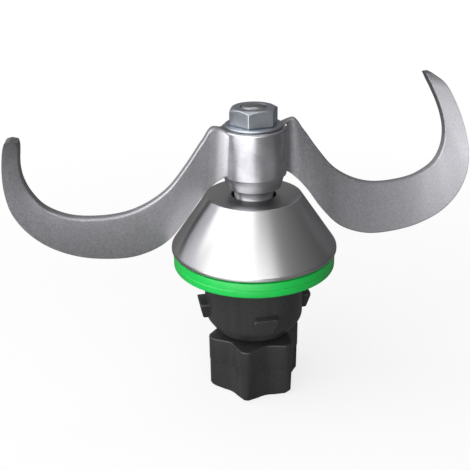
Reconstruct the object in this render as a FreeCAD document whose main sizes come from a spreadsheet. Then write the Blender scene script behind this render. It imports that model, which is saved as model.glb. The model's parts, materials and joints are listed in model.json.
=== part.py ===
import FreeCAD, Part
import math
import os
import Sketcher
from FreeCAD import Placement, Rotation, Vector

# Blade unit of a food processor, in millimetres.
# The spindle's axis is the Z axis, and the unit stands on the flat end of its drive coupling at z = 0.
# X runs along the width of the blade, and -Y faces the viewer.

doc = FreeCAD.newDocument("blade_unit")
sheet = doc.addObject("Spreadsheet::Sheet", "Sizes")

# Driving dimensions, each with the name that the formulas use.
DIMENSIONS = [
    # drive coupling
    ("coupling_height", 19.2),
    ("coupling_band", 8.6),
    ("coupling_tip_radius", 15.4),
    ("coupling_tip_width", 2.6),
    ("coupling_valley_radius", 11.5),
    ("coupling_step", 0.12),
    ("coupling_valley_step", 0.6),
    ("coupling_tip_rounding", 2),
    ("coupling_valley_rounding", 3.4),
    ("coupling_hollow_rounding", 8),
    ("coupling_edge", 0.6),
    ("coupling_chamfer", 1.5),
    ("coupling_points", 6),
    ("coupling_angle", -102),
    ("coupling_neck_radius", 7.5),
    ("coupling_gap", 2.9),
    ("screw_head_radius", 4.25),
    ("screw_head_height", 4.6),
    ("screw_radius", 2.5),
    ("screw_length", 14),
    ("screw_key", 4),
    ("screw_recess", 2.2),
    ("coupling_washer_radius", 6),
    ("coupling_washer_thickness", 1),
    ("washer_play", 0.2),
    ("screw_bevel", 0.5),
    # bearing housing
    ("housing_depth", 27.2),
    ("housing_top_radius", 16.4),
    ("housing_taper", 0.8),
    ("housing_foot_step", 2.6),
    ("housing_corner", 3.8),
    ("rim_rounding", 0.6),
    ("flange_radius", 23.4),
    ("flange_thickness", 3),
    ("neck_radius", 14.2),
    ("neck_height", 9.6),
    ("floor_opening", 9.4),
    ("lug_reach", 1.8),
    ("lug_foot_reach", 0.7),
    ("lug_drop", 17),
    ("lug_height", 5.8),
    ("lug_top_width", 8),
    ("lug_foot_width", 4.6),
    ("lug_count", 4),
    ("lug_angle", 11),
    ("lug_corner", 0.9),
    # seal ring and cone cover
    ("ring_radius", 25),
    ("ring_height", 5.3),
    ("ring_groove_drop", 3),
    ("ring_groove_depth", 0.3),
    ("ring_groove_width", 0.5),
    ("ring_clearance", 0.15),
    ("cone_height", 17.6),
    ("cone_top_radius", 14.6),
    ("cone_base_radius", 25.6),
    ("cone_band_height", 3.5),
    ("cone_foot_radius", 24.9),
    ("cone_foot_height", 0.9),
    ("cone_wall", 2.2),
    ("cone_top_wall", 1.6),
    ("cone_socket_wall", 2),
    ("cone_socket_step", 1),
    ("cone_shoulder_rounding", 3.8),
    ("cone_opening", 0.8),
    ("boss_radius", 3),
    ("boss_height", 6),
    ("boss_circle", 19.4),
    ("boss_hole_spare", 0.3),
    ("boss_count", 3),
    ("cover_screw_radius", 1.5),
    ("cover_screw_head_radius", 2.8),
    ("cover_screw_grip", 5),
    ("cover_screw_key", 1.1),
    ("screw_play", 0.1),
    ("thread_clearance", 0.04),
    # bearings
    ("bearing_bore_radius", 5),
    ("bearing_outer_radius", 11),
    ("bearing_width", 6),
    ("bearing_lift", 1.5),
    ("bearing_seat", 3.2),
    ("race_wall", 2),
    ("ball_radius", 1.55),
    ("ball_clearance", 0.08),
    ("ball_count", 9),
    ("cage_wall", 1.1),
    ("cage_height", 4.3),
    ("shield_thickness", 0.3),
    ("shield_gap", 0.15),
    ("shield_inset", 0.1),
    ("sleeve_wall", 1.8),
    ("outer_sleeve_wall", 1.6),
    ("fit_clearance", 0.02),
    ("retainer_thickness", 1),
    ("retainer_wall", 1.7),
    ("retainer_reach", 0.5),
    ("retainer_play", 0.08),
    ("retainer_opening", 5),
    ("retainer_ear_radius", 1.5),
    ("retainer_ear_offset", 1.2),
    ("retainer_hole_radius", 0.6),
    # shaft seal
    ("seal_wall", 1.1),
    ("seal_base", 1.6),
    ("seal_lip_gap", 0.1),
    ("seal_lip_wall", 1.9),
    ("seal_hook", 0.6),
    ("seal_gap", 0.2),
    ("seal_spring_radius", 0.55),
    # spindle
    ("journal_radius", 6),
    ("drive_radius", 4),
    ("drive_flats", 7),
    ("seat_flats", 8),
    ("stud_radius", 4),
    ("stud_chamfer", 1),
    ("stud_proud", 0.4),
    ("seat_relief", 0.6),
    # collar, blade hub, washer and nut
    ("collar_gap", 2.7),
    ("collar_height", 3.9),
    ("collar_foot_radius", 8.3),
    ("collar_top_radius", 9.3),
    ("hub_radius", 9.9),
    ("hub_height", 14.4),
    ("hub_rounding", 0.8),
    ("washer_radius", 8.7),
    ("washer_thickness", 0.9),
    ("washer_clearance", 0.3),
    ("nut_flats", 13),
    ("nut_height", 5),
    ("nut_chamfer_angle", 30),
    ("nut_angle", 17),
    # blade arms
    ("arm_reach", 71.5),
    ("arm_thickness", 3.1),
    ("arm_angle", 8),
    ("arm_low", 0.9),
    ("arm_rise", 45.6),
    ("arm_edge", 0.5),
    ("root_front", 6),
    ("root_rear", 2.5),
    ("root_depth", 0.4),
]


class Size:
    """A length with its value and the formula that keeps it tied to the sheet."""

    def __init__(self, value, formula):
        self.value = float(value)
        self.formula = formula

    def __add__(self, other):
        other = as_size(other)
        return Size(self.value + other.value, "(%s + %s)" % (self.formula, other.formula))

    def __radd__(self, other):
        return as_size(other) + self

    def __sub__(self, other):
        other = as_size(other)
        return Size(self.value - other.value, "(%s - %s)" % (self.formula, other.formula))

    def __rsub__(self, other):
        return as_size(other) - self

    def __mul__(self, other):
        other = as_size(other)
        return Size(self.value * other.value, "(%s * %s)" % (self.formula, other.formula))

    def __rmul__(self, other):
        return as_size(other) * self

    def __truediv__(self, other):
        other = as_size(other)
        return Size(self.value / other.value, "(%s / %s)" % (self.formula, other.formula))

    def __neg__(self):
        return 0 - self

    def __float__(self):
        return self.value


def as_size(number):
    if isinstance(number, Size):
        return number
    return Size(number, "(%.9g)" % number)


def around_axis(radius, turn, degrees=0):
    """The place at a radius and an angle about Z, where turn is an angle from the sheet."""
    radius = as_size(radius)
    turn = as_size(turn)
    angle = math.radians(turn.value + degrees)
    places = []
    for name, share in (("cos", math.cos(angle)), ("sin", math.sin(angle))):
        formula = "(%s * %s((%s + %.9g) * 1deg))" % (radius.formula, name, turn.formula, degrees)
        places.append(Size(radius.value * share, formula))
    return tuple(places)


def fill_sheet():
    """Write every driving dimension into its own cell and give the cell its name."""
    sizes = {}
    for row, (name, value) in enumerate(DIMENSIONS, start=1):
        cell = "B%d" % row
        sheet.set("A%d" % row, name)
        sheet.set(cell, str(value))
        sheet.setAlias(cell, name)
        sizes[name] = Size(value, "Sizes." + name)
    doc.recompute()
    return sizes


S = fill_sheet()

# Heights above the floor that several pieces share.
HOUSING_FOOT = S["coupling_height"] + S["coupling_gap"]
SEAM = HOUSING_FOOT + S["housing_depth"]
FLANGE_FOOT = SEAM - S["flange_thickness"]
CONE_TOP = SEAM + S["cone_height"]
SHOULDER = CONE_TOP + S["collar_gap"]
HUB_FOOT = SHOULDER + S["collar_height"]
HUB_TOP = HUB_FOOT + S["hub_height"]
NUT_FOOT = HUB_TOP + S["washer_thickness"]
NUT_TOP = NUT_FOOT + S["nut_height"]
STUD_TOP = NUT_TOP + S["stud_proud"]
LOWER_BEARING = HOUSING_FOOT + S["bearing_seat"]
UPPER_BEARING = SEAM + S["bearing_lift"]
BEARING_TOP = UPPER_BEARING + S["bearing_width"]
NECK_TOP = SEAM + S["neck_height"]
SCREW_SEAT = S["screw_recess"] + S["screw_head_height"]
SPINDLE_FOOT = SCREW_SEAT + S["coupling_washer_thickness"]
SOCKET_ROOF = CONE_TOP - S["cone_top_wall"]
BALL_CIRCLE = (S["bearing_bore_radius"] + S["bearing_outer_radius"]) / 2
SEAL_FOOT = NECK_TOP + S["seal_gap"]
SEAL_BACK = S["journal_radius"] + S["seal_lip_gap"] + S["seal_lip_wall"]
SPRING_HEIGHT = (SEAL_FOOT + S["seal_base"] + SOCKET_ROOF) / 2

# How far a cut reaches past the material that it takes away.
CUT_MARGIN = 1

# The flat top of the nut, as a share of its width across flats, and the steepest lean that an arm's
# section is cut at, as the cosine between its face and its side.
NUT_FACE_SHARE = 0.95
LEAST_LEAN = 0.64

# Spacing of the arm's sections where the root fillet runs out into the arm, counted in stations.
ROOT_STEP = 0.25
ROOT_STATIONS = 3


def bind(item, prop, size):
    """Tie one property of an object to the sheet."""
    setattr(item, prop, float(size))
    item.setExpression(prop, as_size(size).formula)


def new_body(label):
    body = doc.addObject("PartDesign::Body", label)
    body.Label = label
    return body


def plane_of(body, role):
    return next(item for item in body.Origin.OriginFeatures if item.Role == role)


def new_sketch(body, name, role="XZ_Plane", height=None):
    """An empty sketch on one of the body's own planes, lifted by height where it has one."""
    sketch = body.newObject("Sketcher::SketchObject", name)
    sketch.AttachmentSupport = [(plane_of(body, role), "")]
    sketch.MapMode = "FlatFace"
    if height is not None:
        sketch.AttachmentOffset = Placement(Vector(0, 0, float(height)), Rotation())
        sketch.setExpression("AttachmentOffset.Base.z", height.formula)
    return sketch


def place_vertex(sketch, line, x, y):
    """Fix the start of a line at x, y by formulas."""
    for kind, size in (("DistanceX", x), ("DistanceY", y)):
        size = as_size(size)
        row = sketch.addConstraint(Sketcher.Constraint(kind, -1, 1, line, 1, size.value))
        sketch.setExpression("Constraints[%d]" % row, size.formula)


def add_outline(sketch, corners):
    """A closed outline of straight lines whose corners are fixed by formulas."""
    first = sketch.GeometryCount
    count = len(corners)
    places = [Vector(float(x), float(y), 0) for x, y in corners]
    for k in range(count):
        sketch.addGeometry(Part.LineSegment(places[k], places[(k + 1) % count]), False)
    for k in range(count):
        follower = first + (k + 1) % count
        sketch.addConstraint(Sketcher.Constraint("Coincident", first + k, 2, follower, 1))
    for k, (x, y) in enumerate(corners):
        place_vertex(sketch, first + k, x, y)


def add_circle(sketch, radius, x=0, y=0):
    circle = sketch.addGeometry(Part.Circle(Vector(float(x), float(y), 0), Vector(0, 0, 1), float(radius)), False)
    row = sketch.addConstraint(Sketcher.Constraint("Radius", circle, float(radius)))
    sketch.setExpression("Constraints[%d]" % row, as_size(radius).formula)
    for kind, size in (("DistanceX", as_size(x)), ("DistanceY", as_size(y))):
        row = sketch.addConstraint(Sketcher.Constraint(kind, -1, 1, circle, 3, size.value))
        sketch.setExpression("Constraints[%d]" % row, size.formula)


def revolve(body, sketch, name):
    turned = body.newObject("PartDesign::Revolution", name)
    turned.Profile = sketch
    turned.ReferenceAxis = (sketch, ["V_Axis"])
    turned.Angle = 360
    sketch.Visibility = False
    return turned


def turned_body(label, corners):
    """A body turned about Z from an outline of radius and height."""
    body = new_body(label)
    sketch = new_sketch(body, label + "_profile")
    add_outline(sketch, corners)
    revolve(body, sketch, label + "_turned")
    doc.recompute()
    return body


def ring_corners(inner, outer, foot, top):
    return [(inner, foot), (outer, foot), (outer, top), (inner, top)]


def pad(body, sketch, name, length):
    feature = body.newObject("PartDesign::Pad", name)
    feature.Profile = sketch
    bind(feature, "Length", length)
    sketch.Visibility = False
    doc.recompute()
    return feature


def pocket(body, sketch, name, length, reverse=True):
    """Cut a pocket of the given depth, and check that it takes material away."""
    before = body.Shape.Volume
    feature = body.newObject("PartDesign::Pocket", name)
    feature.Profile = sketch
    bind(feature, "Length", length)
    feature.Reversed = reverse
    sketch.Visibility = False
    doc.recompute()
    if not body.Shape.Volume < before:
        raise RuntimeError("%s cuts nothing" % name)
    return feature


def around(body, features, name, count):
    """Repeat features evenly about Z."""
    pattern = body.newObject("PartDesign::PolarPattern", name)
    pattern.Originals = features
    pattern.Axis = (plane_of(body, "Z_Axis"), [""])
    pattern.Angle = 360
    pattern.Occurrences = int(count.value)
    pattern.setExpression("Occurrences", count.formula)
    body.Tip = pattern
    doc.recompute()
    return pattern


def edges_near(shape, radius, height):
    """Names of the round edges about Z at one radius and height."""
    names = []
    for k, edge in enumerate(shape.Edges, start=1):
        curve = edge.Curve
        if not isinstance(curve, Part.Circle):
            continue
        on_axis = math.hypot(curve.Center.x, curve.Center.y) < 1e-6
        if on_axis and abs(curve.Radius - float(radius)) < 1e-4 and abs(curve.Center.z - float(height)) < 1e-4:
            names.append("Edge%d" % k)
    return names


def round_edges(body, places, name, radius):
    """Round the circular edges at each radius and height."""
    base = body.Tip
    names = []
    for place_radius, height in places:
        names += edges_near(base.Shape, place_radius, height)
    feature = body.newObject("PartDesign::Fillet", name)
    feature.Base = (base, names)
    bind(feature, "Radius", radius)
    doc.recompute()
    return feature


def bevel_edges(body, places, name, size):
    """Chamfer the circular edges at each radius and height."""
    base = body.Tip
    names = []
    for place_radius, height in places:
        names += edges_near(base.Shape, place_radius, height)
    feature = body.newObject("PartDesign::Chamfer", name)
    feature.Base = (base, names)
    bind(feature, "Size", size)
    doc.recompute()
    return feature


def cut_flats(body, name, flats, radius, foot, top):
    """Two parallel flats on a shaft, from foot to top."""
    sketch = new_sketch(body, name + "_outline", "XY_Plane", foot)
    half = flats / 2
    reach = radius + CUT_MARGIN
    for side in (1, -1):
        near, far = half * side, reach * side
        add_outline(sketch, [(-reach, near), (reach, near), (reach, far), (-reach, far)])
    return pocket(body, sketch, name, top - foot)


def make_spindle():
    """Stepped shaft: coupling drive, bearing journal, seal journal, blade seat and threaded end."""
    journal = S["bearing_bore_radius"]
    drive_top = LOWER_BEARING
    seat_top = HUB_TOP - S["seat_relief"]
    body = turned_body("spindle", [
        (0, SPINDLE_FOOT), (S["drive_radius"], SPINDLE_FOOT), (S["drive_radius"], drive_top),
        (journal, drive_top), (journal, BEARING_TOP), (S["journal_radius"], BEARING_TOP),
        (S["journal_radius"], SHOULDER), (journal, SHOULDER), (journal, seat_top),
        (S["stud_radius"], seat_top), (S["stud_radius"], STUD_TOP), (0, STUD_TOP),
    ])
    bevel_edges(body, [(S["stud_radius"], STUD_TOP)], "stud_bevel", S["stud_chamfer"])
    cut_flats(body, "seat_flats_cut", S["seat_flats"], journal, SHOULDER, seat_top)
    cut_flats(body, "drive_flats_cut", S["drive_flats"], S["drive_radius"], SPINDLE_FOOT, drive_top)
    sketch = new_sketch(body, "screw_hole_outline", "XY_Plane", SPINDLE_FOOT)
    add_circle(sketch, S["screw_radius"] + S["thread_clearance"])
    pocket(body, sketch, "screw_hole", S["screw_length"])
    return body


def double_flat_bore(body, name, radius, flats, foot, depth):
    """A bore with two flats, for a shaft with two flats: one pocket for the middle, one for the round sides."""
    clearance = S["fit_clearance"]
    half = flats / 2 + clearance
    reach = radius + clearance
    span = (reach.value ** 2 - half.value ** 2) ** 0.5
    sketch = new_sketch(body, name + "_outline", "XY_Plane", foot)
    angle = math.atan2(half.value, span)
    arcs = []
    for turn in (0, math.pi):
        circle = Part.Circle(Vector(0, 0, 0), Vector(0, 0, 1), reach.value)
        arcs.append(sketch.addGeometry(Part.ArcOfCircle(circle, turn - angle, turn + angle), False))
    top = sketch.addGeometry(Part.LineSegment(Vector(span, half.value, 0), Vector(-span, half.value, 0)), False)
    low = sketch.addGeometry(Part.LineSegment(Vector(-span, -half.value, 0), Vector(span, -half.value, 0)), False)
    for first, second in ((arcs[0], top), (top, arcs[1]), (arcs[1], low), (low, arcs[0])):
        sketch.addConstraint(Sketcher.Constraint("Coincident", first, 2, second, 1))
    for arc in arcs:
        sketch.addConstraint(Sketcher.Constraint("Coincident", arc, 3, -1, 1))
    sketch.addConstraint(Sketcher.Constraint("Horizontal", top))
    sketch.addConstraint(Sketcher.Constraint("Horizontal", low))
    row = sketch.addConstraint(Sketcher.Constraint("Radius", arcs[0], reach.value))
    sketch.setExpression("Constraints[%d]" % row, reach.formula)
    row = sketch.addConstraint(Sketcher.Constraint("DistanceY", -1, 1, top, 1, half.value))
    sketch.setExpression("Constraints[%d]" % row, half.formula)
    row = sketch.addConstraint(Sketcher.Constraint("DistanceY", low, 1, -1, 1, half.value))
    sketch.setExpression("Constraints[%d]" % row, half.formula)
    return pocket(body, sketch, name, depth)


def make_collar():
    """Tapered collar between the spindle's shoulder and the hub."""
    bore = S["bearing_bore_radius"] + S["fit_clearance"]
    return turned_body("spacer_collar", [
        (bore, SHOULDER), (S["collar_foot_radius"], SHOULDER), (S["collar_top_radius"], HUB_FOOT), (bore, HUB_FOOT),
    ])


def make_washer():
    body = turned_body("washer", ring_corners(
        S["stud_radius"] + S["washer_clearance"], S["washer_radius"], HUB_TOP, NUT_FOOT))
    round_edges(body, [(S["washer_radius"], NUT_FOOT)], "washer_edge", S["washer_thickness"] / 3)
    return body


def make_nut():
    """Low hexagon nut: a hexagon trimmed by the cone of its chamfer, with a bore for the threaded end."""
    body = new_body("hex_nut")
    corner = S["nut_flats"] / math.sqrt(3)
    bore = S["stud_radius"] + S["thread_clearance"]
    sketch = new_sketch(body, "nut_outline", "XY_Plane", NUT_FOOT)
    add_outline(sketch, [around_axis(corner, S["nut_angle"], 60 * k) for k in range(6)])
    pad(body, sketch, "nut_blank", S["nut_height"])
    edge = S["nut_flats"] * NUT_FACE_SHARE / 2
    drop = (corner - edge) * math.tan(math.radians(S["nut_chamfer_angle"].value))
    turn_away(body, "nut_trim", [
        (edge, NUT_TOP), (edge, NUT_TOP + CUT_MARGIN), (corner + CUT_MARGIN, NUT_TOP + CUT_MARGIN),
        (corner + CUT_MARGIN, NUT_TOP - drop), (corner, NUT_TOP - drop),
    ])
    hole = new_sketch(body, "nut_bore_outline", "XY_Plane", NUT_FOOT)
    add_circle(hole, bore)
    pocket(body, hole, "nut_bore", S["nut_height"])
    bevel_edges(body, [(bore, NUT_TOP)], "nut_mouth", S["stud_proud"])
    return body


def turn_away(body, name, corners):
    """Turn material away about Z."""
    sketch = new_sketch(body, name + "_outline")
    add_outline(sketch, corners)
    return cut_round(body, sketch, name)


def cut_round(body, sketch, name):
    before = body.Shape.Volume
    groove = body.newObject("PartDesign::Groove", name)
    groove.Profile = sketch
    groove.ReferenceAxis = (sketch, ["V_Axis"])
    groove.Angle = 360
    sketch.Visibility = False
    doc.recompute()
    if not body.Shape.Volume < before:
        raise RuntimeError("%s cuts nothing" % name)
    return groove


def turn_body(body, angle):
    """Turn a finished body about Z."""
    body.Placement = Placement(Vector(0, 0, 0), Rotation(Vector(0, 0, 1), angle.value))
    body.setExpression("Placement.Rotation.Angle", angle.formula)
    doc.recompute()


def make_cone():
    """Steel cover with a straight flank, a socket for the shaft seal and three bosses for its screws."""
    wall = S["cone_wall"]
    foot = S["cone_foot_radius"]
    base = S["cone_base_radius"]
    socket = S["bearing_outer_radius"]
    socket_outside = socket + S["cone_socket_wall"]
    opening = S["journal_radius"] + S["cone_opening"]
    body = turned_body("cone_cover", [
        (foot - wall, SEAM), (foot, SEAM), (base, SEAM + S["cone_foot_height"]),
        (base, SEAM + S["cone_band_height"]), (S["cone_top_radius"], CONE_TOP), (opening, CONE_TOP),
        (opening, SOCKET_ROOF), (socket, SOCKET_ROOF), (socket, SEAL_FOOT), (socket_outside, SEAL_FOOT),
        (socket_outside, SOCKET_ROOF - S["cone_socket_step"]), (base - wall, SEAM + S["cone_band_height"] / 2),
    ])
    boss = new_sketch(body, "boss_outline", "XY_Plane", SEAM)
    add_circle(boss, S["boss_radius"], *around_axis(S["boss_circle"], S["lug_angle"]))
    first = pad(body, boss, "boss", S["boss_height"])
    around(body, [first], "bosses", S["boss_count"])
    hole = new_sketch(body, "boss_hole_outline", "XY_Plane", SEAM)
    add_circle(hole, S["cover_screw_radius"] + S["thread_clearance"],
               *around_axis(S["boss_circle"], S["lug_angle"]))
    first = pocket(body, hole, "boss_hole", S["cover_screw_grip"] + S["boss_hole_spare"])
    around(body, [first], "boss_holes", S["boss_count"])
    round_edges(body, [(base, SEAM + S["cone_band_height"])], "shoulder_rounding",
                S["cone_shoulder_rounding"])
    round_edges(body, [(base, SEAM + S["cone_foot_height"])], "foot_rounding", S["cone_foot_height"])
    round_edges(body, [(S["cone_top_radius"], CONE_TOP), (opening, CONE_TOP)], "rim_rounding",
                S["cone_top_wall"] / 3)
    return body


def make_seal_ring():
    """Elastic ring around the flange, with a lip below it and a shallow groove around its outside."""
    radius = S["ring_radius"]
    foot = SEAM - S["ring_height"]
    groove = SEAM - S["ring_groove_drop"]
    deep = radius - S["ring_groove_depth"]
    half = S["ring_groove_width"] / 2
    inside = S["flange_radius"] + S["ring_clearance"]
    lip = S["housing_top_radius"] + S["ring_clearance"]
    body = turned_body("seal_ring", [
        (lip, foot), (radius, foot), (radius, groove - half), (deep, groove), (radius, groove + half),
        (radius, SEAM), (inside, SEAM), (inside, FLANGE_FOOT), (lip, FLANGE_FOOT),
    ])
    round_edges(body, [(radius, foot)], "ring_edge", S["ring_groove_width"])
    return body


def make_housing():
    """Moulded housing: foot, tapered barrel, flange, bearing bore, screw holes and bayonet lugs."""
    bore = S["bearing_outer_radius"] + S["fit_clearance"]
    groove = bore + S["retainer_reach"] + S["retainer_play"]
    groove_top = BEARING_TOP + S["retainer_thickness"] + S["retainer_play"]
    waist = S["housing_top_radius"] - S["housing_taper"]
    rim = waist - S["housing_foot_step"]
    waist_height = HOUSING_FOOT + S["housing_corner"]
    flange = S["flange_radius"]
    neck = S["neck_radius"]
    opening = S["floor_opening"]
    body = turned_body("bearing_housing", [
        (opening, HOUSING_FOOT), (rim, HOUSING_FOOT), (waist, waist_height),
        (S["housing_top_radius"], FLANGE_FOOT), (flange, FLANGE_FOOT), (flange, SEAM), (neck, SEAM),
        (neck, NECK_TOP), (bore, NECK_TOP), (bore, groove_top), (groove, groove_top),
        (groove, BEARING_TOP), (bore, BEARING_TOP),
        (bore, LOWER_BEARING), (opening, LOWER_BEARING),
    ])
    round_edges(body, [(waist, waist_height)], "waist_rounding", S["housing_corner"])
    round_edges(body, [(rim, HOUSING_FOOT)], "rim_rounding", S["rim_rounding"])
    hole = new_sketch(body, "flange_hole_outline", "XY_Plane", FLANGE_FOOT)
    add_circle(hole, S["cover_screw_radius"] + S["screw_play"], S["boss_circle"], 0)
    first = pocket(body, hole, "flange_hole", S["flange_thickness"])
    cone = body.newObject("PartDesign::Chamfer", "flange_countersink")
    cone.Base = (first, countersink_edges(first.Shape))
    bind(cone, "Size", S["cover_screw_head_radius"] - S["cover_screw_radius"])
    doc.recompute()
    around(body, [first, cone], "flange_holes", S["boss_count"])
    add_lugs(body)
    turn_body(body, S["lug_angle"])
    return body


def countersink_edges(shape):
    """The lower edge of the hole in the flange."""
    for k, edge in enumerate(shape.Edges, start=1):
        curve = edge.Curve
        if isinstance(curve, Part.Circle) and math.hypot(curve.Center.x, curve.Center.y) > 1:
            if abs(curve.Center.z - FLANGE_FOOT.value) < 1e-4:
                return ["Edge%d" % k]
    raise RuntimeError("no edge to countersink")


def add_lugs(body):
    """Bayonet lugs: trapezoids padded outwards, then trimmed to a taper."""
    top = SEAM - S["lug_drop"]
    foot = top - S["lug_height"]
    start = S["housing_top_radius"] - S["housing_taper"] - S["housing_foot_step"]
    wide = S["lug_top_width"] / 2
    narrow = S["lug_foot_width"] / 2
    outline = new_sketch(body, "lug_outline", "XZ_Plane", start)
    corner = S["lug_corner"]
    add_outline(outline, [
        (-narrow, foot), (narrow, foot), (wide, top - corner), (wide - corner, top),
        (corner - wide, top), (-wide, top - corner),
    ])
    reach = S["housing_top_radius"] + S["lug_reach"]
    lug = pad(body, outline, "lug", reach - start)
    around(body, [lug], "lugs", S["lug_count"])
    outside = reach + CUT_MARGIN
    turn_away(body, "lug_trim", [
        (S["housing_top_radius"] + S["lug_foot_reach"], foot), (outside, foot), (outside, top), (reach, top),
    ])


def make_coupling():
    """Six-point drive star with a wider band at its top, a neck and a stepped hole for its screw."""
    body = new_body("drive_coupling")
    count = int(S["coupling_points"].value)
    step = 360 / count
    top = S["coupling_height"]
    lower = top - S["coupling_band"]

    def star(tip_step, valley_step):
        tip = S["coupling_tip_radius"] - tip_step
        valley = S["coupling_valley_radius"] - valley_step
        half = S["coupling_tip_width"] / 2
        lean = math.degrees(math.asin(half.value / tip.value))
        corners = []
        for k in range(count):
            corners.append(around_axis(tip, S["coupling_angle"], k * step - lean))
            corners.append(around_axis(tip, S["coupling_angle"], k * step + lean))
            corners.append(around_axis(valley, S["coupling_angle"], (k + 0.5) * step))
        return corners

    shaft = new_sketch(body, "star_outline", "XY_Plane", as_size(0))
    add_outline(shaft, star(S["coupling_step"], S["coupling_valley_step"]))
    pad(body, shaft, "star", lower)
    band = new_sketch(body, "band_outline", "XY_Plane", lower)
    add_outline(band, star(0, 0))
    pad(body, band, "star_band", S["coupling_band"])
    waist = (S["coupling_tip_radius"].value + S["coupling_valley_radius"].value) / 2
    outermost = S["coupling_tip_radius"].value + CUT_MARGIN
    round_uprights(body, "tip_rounding", waist, outermost, 0, S["coupling_tip_rounding"])
    round_uprights(body, "valley_rounding", 0, waist, lower.value / 2, S["coupling_valley_rounding"])
    round_uprights(body, "hollow_rounding", 0, waist, 0, S["coupling_hollow_rounding"])
    round_top(body, "top_rounding", top, S["coupling_edge"])
    reach = S["coupling_tip_radius"]
    outside = reach + CUT_MARGIN
    turn_away(body, "tip_trim", [
        (reach - S["coupling_step"] - S["coupling_chamfer"], 0), (outside, 0),
        (outside, S["coupling_chamfer"] + S["coupling_step"] + CUT_MARGIN),
    ])
    neck = new_sketch(body, "neck_outline", "XY_Plane", top)
    add_circle(neck, S["coupling_neck_radius"])
    pad(body, neck, "neck", LOWER_BEARING - top)
    double_flat_bore(body, "drive_bore", S["drive_radius"], S["drive_flats"], SPINDLE_FOOT,
                     LOWER_BEARING - SPINDLE_FOOT)
    recess = new_sketch(body, "screw_recess_outline", "XY_Plane", as_size(0))
    add_circle(recess, S["coupling_washer_radius"] + S["washer_play"])
    pocket(body, recess, "screw_recess_cut", SPINDLE_FOOT)
    return body


def round_uprights(body, name, nearest, farthest, least, radius):
    """Round the upright edges of the star that lie between two distances from the axis and above a height."""
    base = body.Tip
    names = []
    for k, edge in enumerate(base.Shape.Edges, start=1):
        ends = [vertex.Point for vertex in edge.Vertexes]
        if len(ends) != 2 or abs(ends[0].x - ends[1].x) + abs(ends[0].y - ends[1].y) > 1e-6:
            continue
        foot = min(ends[0].z, ends[1].z)
        if nearest < math.hypot(ends[0].x, ends[0].y) < farthest and foot >= least:
            names.append("Edge%d" % k)
    return round_named(body, base, names, name, radius)


def round_top(body, name, height, radius):
    """Round every edge at the top of a body."""
    base = body.Tip
    names = []
    for k, edge in enumerate(base.Shape.Edges, start=1):
        if all(abs(vertex.Point.z - float(height)) < 1e-6 for vertex in edge.Vertexes):
            names.append("Edge%d" % k)
    return round_named(body, base, names, name, radius)


def round_named(body, base, names, name, radius):
    feature = body.newObject("PartDesign::Fillet", name)
    feature.Base = (base, names)
    bind(feature, "Radius", radius)
    doc.recompute()
    return feature


def make_coupling_screw():
    """Socket head screw that holds the coupling."""
    head = S["screw_head_radius"]
    top = SPINDLE_FOOT + S["screw_length"] - CUT_MARGIN
    body = turned_body("coupling_screw", [
        (0, S["screw_recess"]), (head, S["screw_recess"]), (head, SCREW_SEAT), (S["screw_radius"], SCREW_SEAT),
        (S["screw_radius"], top), (0, top),
    ])
    bevel_edges(body, [(head, S["screw_recess"]), (S["screw_radius"], top)], "screw_bevels", S["screw_bevel"])
    key = new_sketch(body, "screw_key_outline", "XY_Plane", S["screw_recess"])
    corner = S["screw_key"] / math.sqrt(3)
    add_outline(key, [around_axis(corner, 0, 60 * k) for k in range(6)])
    pocket(body, key, "screw_key_cut", S["screw_head_height"] / 2)
    return body


def make_coupling_washer():
    return turned_body("coupling_washer", ring_corners(
        S["screw_radius"] + S["washer_clearance"], S["coupling_washer_radius"], SCREW_SEAT, SPINDLE_FOOT))


def make_bearing(prefix, foot):
    """Ball bearing: two rings with ball paths, balls, cage and two shields."""
    top = foot + S["bearing_width"]
    middle = foot + S["bearing_width"] / 2
    bore = S["bearing_bore_radius"] + S["fit_clearance"]
    inner_edge = S["bearing_bore_radius"] + S["race_wall"]
    outer_edge = S["bearing_outer_radius"] - S["race_wall"]
    step = outer_edge + S["shield_thickness"]
    inset = S["shield_inset"]
    depth = S["shield_thickness"] + inset
    outer = turned_body(prefix + "_outer_ring", [
        (outer_edge, foot + depth), (step, foot + depth), (step, foot), (S["bearing_outer_radius"], foot),
        (S["bearing_outer_radius"], top), (step, top), (step, top - depth), (outer_edge, top - depth),
    ])
    inner = turned_body(prefix + "_inner_ring", ring_corners(bore, inner_edge, foot, top))
    for body in (outer, inner):
        path = new_sketch(body, body.Label + "_path_outline")
        add_circle(path, S["ball_radius"] + S["ball_clearance"], BALL_CIRCLE, middle)
        cut_round(body, path, body.Label + "_path")
    make_balls(prefix, middle)
    make_cage(prefix, middle)
    shield_inside = inner_edge + S["shield_gap"]
    shield_outside = step - S["fit_clearance"]
    turned_body(prefix + "_lower_shield", ring_corners(
        shield_inside, shield_outside, foot + inset, foot + depth))
    turned_body(prefix + "_upper_shield", ring_corners(
        shield_inside, shield_outside, top - depth, top - inset))


def ball_places(middle):
    count = int(S["ball_count"].value)
    return [around_axis(BALL_CIRCLE, 0, 360 * k / count) + (middle,) for k in range(count)]


def place_at(item, place):
    """Put an object at a place and tie the place to the sheet."""
    item.Placement = Placement(Vector(*[float(size) for size in place]), Rotation())
    for axis, size in zip("xyz", place):
        item.setExpression("Placement.Base." + axis, as_size(size).formula)


def make_sphere(label, radius, place):
    item = doc.addObject("Part::Sphere", label)
    bind(item, "Radius", radius)
    place_at(item, place)
    return item


def join(label, items):
    joined = doc.addObject("Part::MultiFuse", label)
    joined.Label = label
    joined.Shapes = items
    doc.recompute()
    return joined


def make_balls(prefix, middle):
    balls = []
    for k, place in enumerate(ball_places(middle)):
        balls.append(make_sphere("%s_ball_%d" % (prefix, k), S["ball_radius"], place))
    return join(prefix + "_balls", balls)


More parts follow.
